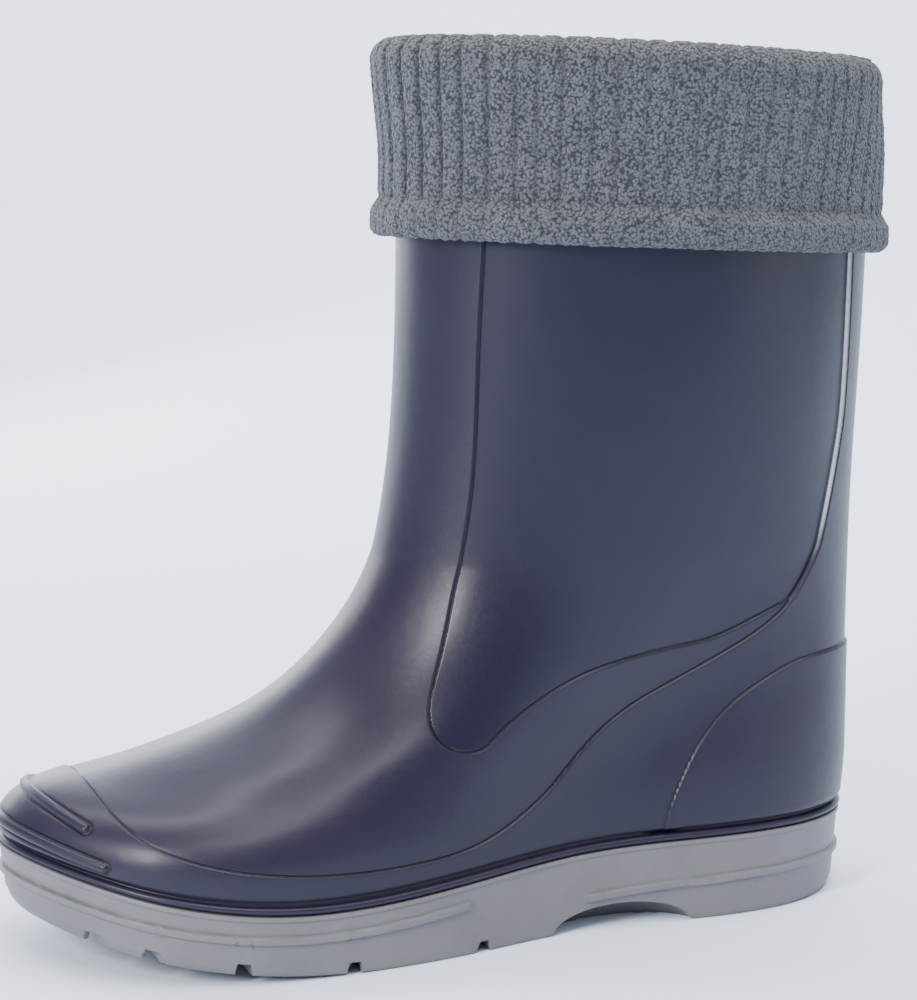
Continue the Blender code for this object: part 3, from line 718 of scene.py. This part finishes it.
def buildUpper(surface):
    piece = upperPiece
    turns = np.linspace(0.0, 2 * pi, piece["columns"] + 1)
    rows = upperGrid()
    bm = bmesh.new()
    grid = [[bm.verts.new((turn, row, 0.0)) for turn in turns] for row in rows]
    for low, high in zip(grid, grid[1:]):
        for j in range(len(turns) - 1):
            bm.faces.new((low[j], low[j + 1], high[j + 1], high[j]))
    for band, cuts in piece["fineBands"][:None]:
        flat = np.array([v.co[:2] for v in bm.verts])
        turn = np.minimum(flat[:, 0], 2 * pi - flat[:, 0])
        wall = (flat[:, 1] > 0.4) & (flat[:, 1] < topLevel + 0.2)
        near = np.full(len(flat), 1e9)
        made = upperRelief(turn[wall], flat[wall, 1])[3]
        near[wall] = np.minimum(made["reliefEdge"], np.maximum(made["bar"] - 0.8 * mm, 0.0))
        bm.verts.index_update()
        edges = set()
        for face in bm.faces:
            if min(near[v.index] for v in face.verts) < band:
                edges.update(face.edges)
        bmesh.ops.subdivide_edges(bm, edges=list(edges), cuts=cuts, use_grid_fill=True)
    flat = np.array([v.co[:2] for v in bm.verts])
    points, values = upperPoints(flat[:, 0], flat[:, 1])
    layers = {key: bm.verts.layers.float.new(key) for key in values}
    for i, v in enumerate(bm.verts):
        v.co = points[i]
        for key, layer in layers.items():
            v[layer] = values[key][i]
    bmesh.ops.remove_doubles(bm, verts=bm.verts[:], dist=1e-6)
    bmesh.ops.recalc_face_normals(bm, faces=bm.faces[:])
    mesh = bpy.data.meshes.new("upperShell")
    bm.to_mesh(mesh)
    bm.free()
    made = showMesh("upperShell", mesh, surface)
    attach(made, "root")
    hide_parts("upper")
    return made


# Sole

solePiece = {
    "columns": 460,
    "wallRows": 52,
    "acrossRows": 44,
    "bottomInset": 1.9 * mm,
    "endRounding": 4.2 * mm,
    "sideRounding": 0.9 * mm,
    "lipHeight": 1.2 * mm,
    "lipProud": 0.5 * mm,
    "ribHeight": 2.0 * mm,
    "ribProud": 0.9 * mm,
    "channelWidth": 3.4 * mm,
    "channelDepth": 2.7 * mm,
    "scallopPlace": 0.335,
    "scallopLength": 37 * mm,
    "scallopHeight": 6.0 * mm,
    "scallopDepth": 9.5 * mm,
    "treadDepth": 1.4 * mm,
}

# middles of the tread's cross channels and of its fine grooves, share of the sole's length
channelPlaces = (0.927, 0.876, 0.788, 0.667, 0.512)
finePlaces = (0.075, 0.125, 0.175, 0.225, 0.57, 0.615, 0.72, 0.832, 0.902)

# side ribs: turn from, turn to, height on the side wall at the ends and in the middle
soleRibs = ((94.0, 266.0, 0.70, 0.575), (-75.0, 75.0, 0.42, 0.500))


def soleTurns():
    # even turns, with extra ones at the channels' edges
    even = np.linspace(0.0, pi, solePiece["columns"] // 2 + 1)
    half = solePiece["channelWidth"] / 2.0 / bootSize["soleLength"]
    extra = []
    for place in channelPlaces:
        for edge in (-half, half):
            for nudge in (-0.0006, 0.0006):
                extra.append(np.arccos(1.0 - 2.0 * (place + edge + nudge)))
    extra = np.array(extra)
    keep = [t for t in even if np.min(np.abs(extra - t)) > 0.004]
    outer = np.sort(np.concatenate([keep, extra]))
    return np.concatenate([outer, 2 * pi - outer[-2:0:-1]])


def treadHeight(x, y):
    # how far the tread lies above the floor line under each point
    piece = solePiece
    along = np.clip(x / bootSize["soleLength"], 0.0, 1.0)
    rise = np.zeros_like(x)
    for place in channelPlaces:
        off = np.abs(x - place * bootSize["soleLength"])
        rise = np.maximum(rise, np.where(off < piece["channelWidth"] / 2.0, piece["channelDepth"], 0.0))
    turn = np.arccos(1.0 - 2.0 * piece["scallopPlace"])
    for side in (1.0, -1.0):
        cx, cy = outlineRing(np.array([turn * side]), -piece["bottomInset"])
        oval = 1.0 - ((x - cx) / (piece["scallopLength"] / 2.0)) ** 2
        oval = oval - ((y - cy) / piece["scallopDepth"]) ** 2
        rise = np.maximum(rise, piece["scallopHeight"] * np.sqrt(np.clip(oval, 0.0, 1.0)))
    return spring(along), rise


def finePattern(x, y, edge):
    # shallow grooves of the tread, kept off the rim
    piece = solePiece
    along = x / bootSize["soleLength"]
    groove = np.zeros_like(x)
    for place in finePlaces:
        groove = np.maximum(groove, blend(1.1 * mm, 0.8 * mm, np.abs(x - place * bootSize["soleLength"])))
    groove = groove * (1.0 - blend(0.24, 0.26, along) * (1.0 - blend(0.50, 0.52, along)))
    return piece["treadDepth"] * groove * blend(4 * mm, 5 * mm, edge)


def soleWallPoint(turn, share, out, rise=0.0):
    x, y = outlineRing(turn, out)
    along = np.clip(x / bootSize["soleLength"], 0.0, 1.0)
    z = spring(along) + soleThickness(along) * share + rise
    return np.stack([x, y, z], -1)


def buildSole(surface):
    piece = solePiece
    turns = soleTurns()
    count = len(turns)
    inset, proud, lip = piece["bottomInset"], piece["lipProud"], piece["lipHeight"]
    end = np.abs(np.cos(turns)) ** 8
    rounding = piece["sideRounding"] + (piece["endRounding"] - piece["sideRounding"]) * end
    rows = []
    creases = []
    corner = np.radians(np.linspace(0.0, 90.0, 7))
    for angle in corner:
        rows.append((0.0, -inset - rounding * (1.0 - np.sin(angle)), rounding * (1.0 - np.cos(angle))))
    base = soleWallPoint(turns, 0.0, -inset)
    ground, cut = treadHeight(base[:, 0], base[:, 1])
    points = []
    for share, out, rise in rows:
        ring = soleWallPoint(turns, share, out, rise)
        ring[:, 2] = np.maximum(ring[:, 2], ground + cut + (ring[:, 2] - ground) * 0.02)
        points.append(ring)
        creases.append(np.zeros(count))
    along = np.clip(base[:, 0] / bootSize["soleLength"], 0.0, 1.0)
    lowest = points[-1][:, 2] - spring(along)
    highest = soleThickness(along) - lip - proud
    ribs = []
    for share in np.linspace(0.0, 1.0, piece["wallRows"])[1:]:
        height = lowest + (highest - lowest) * share
        wallShare = height / (soleThickness(along) - lip - proud)
        out = -inset + (inset - proud) * wallShare
        bulge = np.zeros(count)
        line = np.zeros(count)
        for turnFrom, turnTo, startUp, middleUp in soleRibs:
            degrees = np.degrees(turns)
            degrees = np.where(degrees > 180.0 + (turnFrom + turnTo) / 2.0, degrees - 360.0, degrees)
            far = np.abs(2.0 * (degrees - turnFrom) / (turnTo - turnFrom) - 1.0)
            middle = (middleUp + (startUp - middleUp) * np.minimum(far, 1.0) ** 4) * soleThickness(along)
            past = np.maximum(far - 1.0, 0.0) * (turnTo - turnFrom) / 2.0 * 1.5 * mm
            off = np.hypot(height - middle, past)
            bulge = np.maximum(bulge, piece["ribProud"] * blend(1.15 * mm, 0.70 * mm, off))
            # painted shade: dark line round the foot of each side rib
            line = np.maximum(line, seam(off, 1.25 * mm, 0.22 * mm))
        ribs.append(bulge)
        points.append(soleWallPoint(turns, height / soleThickness(along), out + bulge))
        creases.append(line * 0.5)
    # the lip: how far out, how far under the sole's top
    lipSteps = (
        (-proud * 0.9, lip + 0.2 * mm),
        (-0.15 * mm, lip - 0.05 * mm),
        (0.0, lip - 0.25 * mm),
        (0.0, 0.35 * mm),
        (-0.12 * mm, 0.1 * mm),
        (-0.4 * mm, 0.0),
    )
    for out, below in lipSteps:
        points.append(soleWallPoint(turns, 1.0, out, -below))
        # painted shade under the lip
        creases.append(np.full(count, 0.35 if below > lip else 0.0))
    grid = np.array(points)
    creases = np.array(creases)
    mesh = gridMesh("soleUnit", grid, values={"creaseShade": creases})
    bm = bmesh.new()
    bm.from_mesh(mesh)
    ringed = bm.verts[:]
    layer = bm.verts.layers.float["creaseShade"]
    half = count // 2
    # tread: strips from the outer to the inner side, with points between
    strips = []
    spread = (1.0 - np.cos(np.linspace(0.0, pi, piece["acrossRows"] + 1))) / 2.0
    spread = 0.5 * spread + 0.5 * np.linspace(0.0, 1.0, piece["acrossRows"] + 1)
    for k in range(1, half):
        start, stop = grid[0, k], grid[0, count - k]
        x = start[0] + (stop[0] - start[0]) * spread
        y = start[1] + (stop[1] - start[1]) * spread
        ground, cut = treadHeight(x, y)
        edge = np.minimum(np.abs(y - start[1]), np.abs(stop[1] - y))
        fine = np.where(cut > 0.2 * mm, 0.0, finePattern(x, y, edge))
        row = [ringed[k]]
        for m in range(1, piece["acrossRows"]):
            v = bm.verts.new((x[m], y[m], ground[m] + cut[m] + fine[m]))
            # painted shade in the fine tread grooves
            v[layer] = 0.6 * fine[m] / piece["treadDepth"]
            row.append(v)
        row.append(ringed[count - k])
        strips.append(row)
    for low, high in zip(strips, strips[1:]):
        for m in range(piece["acrossRows"]):
            bm.faces.new((low[m], low[m + 1], high[m + 1], high[m]))
    for tip, row in ((ringed[0], strips[0]), (ringed[half], strips[-1])):
        for m in range(piece["acrossRows"]):
            bm.faces.new((tip, row[m], row[m + 1]))
    # seat under the upper
    top = (len(grid) - 1) * count
    for k in range(half):
        corners = [top + k, top + k + 1, top + (count - k - 1) % count, top + (count - k) % count]
        bm.faces.new([ringed[i] for i in dict.fromkeys(corners)])
    bmesh.ops.translate(bm, vec=(-bootSize["heelSeat"], 0.0, 0.0), verts=bm.verts[:])
    bmesh.ops.recalc_face_normals(bm, faces=bm.faces[:])
    bm.to_mesh(mesh)
    bm.free()
    made = showMesh("soleUnit", mesh, surface)
    mesh.set_sharp_from_angle(angle=0.75)
    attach(made, "root")
    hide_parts("outsole")
    return made


# Knit cuff of the sock liner

cuffPiece = {
    "columns": 640,
    "outerRows": 86,
    "foldRows": 18,
    "innerRows": 24,
    "drop": 41.5 * mm,
    "inside": 38.0 * mm,
    "thickness": 3.5 * mm,
    "lining": 3.0 * mm,
    "foldHeight": 5.2 * mm,
    "hemHeight": 9.5 * mm,
    "hemProud": 1.7 * mm,
    "under": 0.9 * mm,
    "ribPitch": 6.0 * mm,
    "lean": 3.4 * mm,
    "loop": 1.25 * mm,
    "loopHeight": 0.26 * mm,
    "rearSpread": 0.85,
    "frontSpread": 0.75,
    "frontSwell": 1.1 * mm,       # fold leans out at the front and in at the rear
    "rearTuck": 2.3 * mm,
    "swellHeight": 22 * mm,
    "waist": 0.3 * mm,
    "ribDepth": (0.48 * mm, 0.75 * mm, 0.30 * mm),    # at the sides, more at the front, more at the rear
    "ribShade": (0.26, 0.50, 0.22),
    "ribWander": 2.0,
    "flat": (0.330, 0.090),
}


def cuffPath():
    # from the hem's lower edge up the outside, over the fold and down inside the shaft
    piece = cuffPiece
    outer = piece["under"] + piece["thickness"]
    inner = bootSize["wall"] + bootSize["fitGap"]
    lining = inner + piece["lining"]
    middle, half = (outer - lining) / 2.0, (outer + lining) / 2.0
    path = [
        (piece["drop"] - 0.2 * mm, piece["under"] + 0.8 * mm),
        (piece["drop"] + 0.1 * mm, outer - 0.9 * mm),
    ]
    for below in np.linspace(piece["drop"] - 0.5 * mm, 0.0, piece["outerRows"]):
        path.append((below, outer))
    for angle in np.linspace(0.0, pi, piece["foldRows"])[1:-1]:
        path.append((-piece["foldHeight"] * np.sin(angle), middle + half * np.cos(angle)))
    for below in np.linspace(0.0, piece["inside"], piece["innerRows"]):
        path.append((below, -lining))
    shown = len(path)
    for below in (piece["inside"], piece["inside"] * 0.5, -bootSize["fitGap"]):
        path.append((below, -inner))
    for below in (-bootSize["fitGap"], piece["drop"] * 0.5, piece["drop"] - 0.2 * mm):
        path.append((below, piece["under"]))
    return np.array(path), shown


def buildCuff(surface):
    piece = cuffPiece
    path, shown = cuffPath()
    turns = np.arange(piece["columns"]) * 2 * pi / piece["columns"]
    ring = collarRing(turns, 20 * mm, 4 * mm)
    lengths = np.linalg.norm(np.roll(ring, -1, 0) - ring, axis=1)
    run = np.concatenate([[0.0], np.cumsum(lengths)])
    total = run[-1]
    run = run[:-1]
    ribs = int(round(total / piece["ribPitch"]))
    rear = np.exp(-(np.minimum(turns, 2 * pi - turns) / piece["rearSpread"]) ** 2)
    toeward = np.exp(-((turns - pi) / piece["frontSpread"]) ** 2)
    grid = []
    for k, (below, out) in enumerate(path):
        extra = np.zeros_like(turns)
        if k < shown and out > 0.0:
            hem = np.clip((below - piece["drop"] + piece["hemHeight"]) / piece["hemHeight"], 0.0, 1.0)
            extra += piece["hemProud"] * blend(0.0, 0.42, hem) * (1.0 - 0.75 * blend(0.78, 1.02, hem))
            high = 1.0 - blend(0.0, piece["swellHeight"], below)
            extra += (piece["frontSwell"] * toeward - piece["rearTuck"] * rear) * high
            extra -= piece["waist"] * np.exp(-((below - 24 * mm) / (9 * mm)) ** 2)
        grid.append(collarRing(turns, below, out + extra))
    grid = np.array(grid)
    normals = gridNormals(grid)
    heights = np.zeros(grid.shape[:2])
    creases = np.zeros(grid.shape[:2])
    wobble = np.array([noise.noise((run[j] * 90.0, 0.0, 3.0)) for j in range(len(run))])
    wobble[-20:] = wobble[-20:] * np.linspace(1.0, 0.0, 20) + wobble[:1] * np.linspace(0.0, 1.0, 20)
    side, front, back = piece["ribDepth"]
    depth = side + front * toeward + back * rear
    side, front, back = piece["ribShade"]
    shade = side + front * toeward + back * rear
    for k in range(shown):
        below, out = path[k]
        up = np.clip(1.0 - below / piece["drop"], 0.0, 1.0) if out > -2 * mm else 1.0
        lean = piece["lean"] * blend(0.25, 1.0, up) * np.exp(-((turns - 0.75) / 0.8) ** 2)
        phase = 2 * pi * ribs / total * (run + lean) + wobble * piece["ribWander"]
        gap = np.exp(-(np.abs(np.sin(phase / 2.0)) / 0.30) ** 2)
        hemTop = piece["drop"] - piece["hemHeight"]
        hemShare = blend(hemTop - 1 * mm, hemTop + 1 * mm, below)
        soft = 1.0 - 0.55 * hemShare if out > 0.0 else 0.8
        # painted shade in the rib gaps
        heights[k] -= depth * gap * soft
        creases[k] = gap * soft * shade
        if out > 0.0:
            # painted shade along the hem's seam groove
            seamLine = np.exp(-((below - piece["drop"] + piece["hemHeight"]) / (0.8 * mm)) ** 2)
            heights[k] -= 0.30 * mm * seamLine
            creases[k] = np.maximum(creases[k], 0.10 * seamLine)
    for k in range(shown):
        for j in range(len(turns)):
            p = grid[k, j] / piece["loop"]
            loops = noise.noise(p) + 0.5 * noise.noise(p * 2.1)
            heights[k, j] += piece["loopHeight"] * loops
    grid = grid - normals * heights[..., None]
    mesh = gridMesh("knitCuff", grid, closeRows=True, values={"creaseShade": creases})
    bm = bmesh.new()
    bm.from_mesh(mesh)
    bmesh.ops.recalc_face_normals(bm, faces=bm.faces[:])
    bm.to_mesh(mesh)
    bm.free()
    made = showMesh("knitCuff", mesh, surface)
    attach(made, "root")
    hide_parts("knit_cuff")
    return made


# Fleece lining of the shaft and foot

liningPiece = {
    "columns": 260,
    "rows": 110,
    "lowLevel": 1.2,
    "deep": 2.6 * mm,
    "thin": 1.2 * mm,
    "flat": (0.330, 0.140),
}


def buildLining(surface):
    piece = liningPiece
    turns = np.arange(piece["columns"]) * 2 * pi / piece["columns"]
    # the top ring lies just inside the cuff's inner edge all the way round
    scale = np.linspace(topLevel - 6.0, topLevel, 120)
    heights = np.array([upperSkin(turns, np.full(len(turns), level))[:, 2] for level in scale])
    wanted = collarRing(turns, cuffPiece["inside"] - 1 * mm, -bootSize["wall"] - piece["deep"])[:, 2]
    start = np.array([np.interp(wanted[j], heights[:, j], scale) for j in range(len(turns))])
    grid = []
    for share in np.linspace(0.0, 1.0, piece["rows"]):
        level = start * (1.0 - share) + piece["lowLevel"] * share
        deep = piece["thin"] + (piece["deep"] - piece["thin"]) * np.clip((level - 1.2) / 1.3, 0.0, 1.0)
        grid.append(upperFace(turns, level, -bootSize["wall"] - deep))
    grid = np.array(grid)
    normals = gridNormals(grid)
    for k in range(len(grid)):
        for j in range(len(turns)):
            p = grid[k, j] / (2.4 * mm)
            grid[k, j] += normals[k, j] * 0.35 * mm * noise.noise(p)
    mesh = gridMesh("sockLining", grid, values={"creaseShade": np.zeros(grid.shape[:2])})
    made = showMesh("sockLining", mesh, surface)
    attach(made, "root")
    return made


# Floor, world and lights

setLook = {
    "floor": "#e4efff",
    "world": "#ebedf6",
    "worldStrength": 0.52,
    "lamps": (
        ("softboxFront", (0.98, 0.56, 0.58), (0.02, 0.0, 0.11), (0.24, 0.44), 17.0),
        ("softboxTop", (-0.05, 0.30, 1.20), (0.02, 0.0, 0.05), (0.6, 0.6), 9.0),
        ("fillRear", (-0.75, 0.55, 0.45), (0.0, 0.0, 0.10), (0.6, 0.9), 2.5),
        ("floorWash", (0.35, 1.10, 1.60), (0.05, 0.0, 0.0), (0.5, 0.5), 10.0),
        ("rimBack", (0.25, -0.95, 0.30), (0.03, 0.0, 0.10), (1.0, 0.3), 5.0),
        ("backdropGlow", (-0.15, -0.45, 1.70), (-0.60, -1.60, 0.60), (2.4, 1.0), 80.0),
    ),
}


def paleFloor():
    made, tree, shader, place = newSurface("palePaper", {"Roughness": 0.9, "Specular IOR Level": 0.15})
    fibre = addNode(tree, "ShaderNodeTexNoise", {"Scale": grains(3 * mm), "Detail": 3.0},
                    {"Vector": place})[0]
    tone = addNode(tree, "ShaderNodeMapRange", {3: 0.985, 4: 1.015}, {0: fibre})[0]
    base = addNode(tree, "ShaderNodeVectorMath", {"operation": "SCALE", 0: colour(setLook["floor"])[:3]},
                   {"Scale": tone})[0]
    tree.links.new(base, shader.inputs["Base Color"])
    return made


sweep = {
    "nearEnd": -4.0,
    "bendPlace": 0.7,
    "bendSize": 1.3,
    "height": 3.6,
    "halfWidth": 3.0,
    "away": (-0.3668, -0.9303),   # level direction in which it runs back and rises
}


def buildFloor():
    # paper sweep: flat under the boot, rising far behind it
    look = sweep
    bend = np.linspace(0.0, pi / 2, 24)[1:]
    flat = np.linspace(look["nearEnd"], look["bendPlace"], 30)
    wallPlace = look["bendPlace"] + look["bendSize"]
    reach = np.concatenate([flat, look["bendPlace"] + look["bendSize"] * np.sin(bend), [wallPlace]])
    rise = np.concatenate([np.zeros(30), look["bendSize"] * (1.0 - np.cos(bend)), [look["height"]]])
    across = np.linspace(-look["halfWidth"], look["halfWidth"], 30)
    back = np.array(look["away"])
    side = np.array([-back[1], back[0]])
    grid = np.zeros((len(reach), len(across), 3))
    grid[..., :2] = reach[:, None, None] * back + across[None, :, None] * side
    grid[..., 2] = rise[:, None]
    mesh = gridMesh("paperSweep", grid, closeColumns=False)
    showMesh("paperSweep", mesh, paleFloor())


def placeLights():
    for name, place, aim, size, power in setLook["lamps"]:
        data = bpy.data.lights.new(name, "AREA")
        data.shape = "RECTANGLE"
        data.size, data.size_y = size
        data.energy = power
        made = bpy.data.objects.new(name, data)
        bpy.context.scene.collection.objects.link(made)
        made.location = place
        lookAt(made, aim)
    world = bpy.data.worlds.new("paleStudio")
    bpy.context.scene.world = world
    world.use_nodes = True
    sky = world.node_tree.nodes["Background"]
    sky.inputs["Color"].default_value = colour(setLook["world"])
    sky.inputs["Strength"].default_value = setLook["worldStrength"]


navy = navyPvcMoulded()
grey = greyPvcMoulded()
fleece = greyFleeceKnitted()
# the same fleece, painted 10% darker for the shade inside the shaft
liner = greyFleeceKnitted("greyFleeceLining", 0.9)
felt = greyFeltPunched()
print("materials made")

buildUpper(navy)
print("upper made")
buildSole(grey)
print("sole made")
buildCuff(fleece)
print("cuff made")
buildLining(liner)
print("lining made")
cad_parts["insole"].data.materials.clear()
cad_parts["insole"].data.materials.append(felt)

buildFloor()
placeLights()
print("studio made")
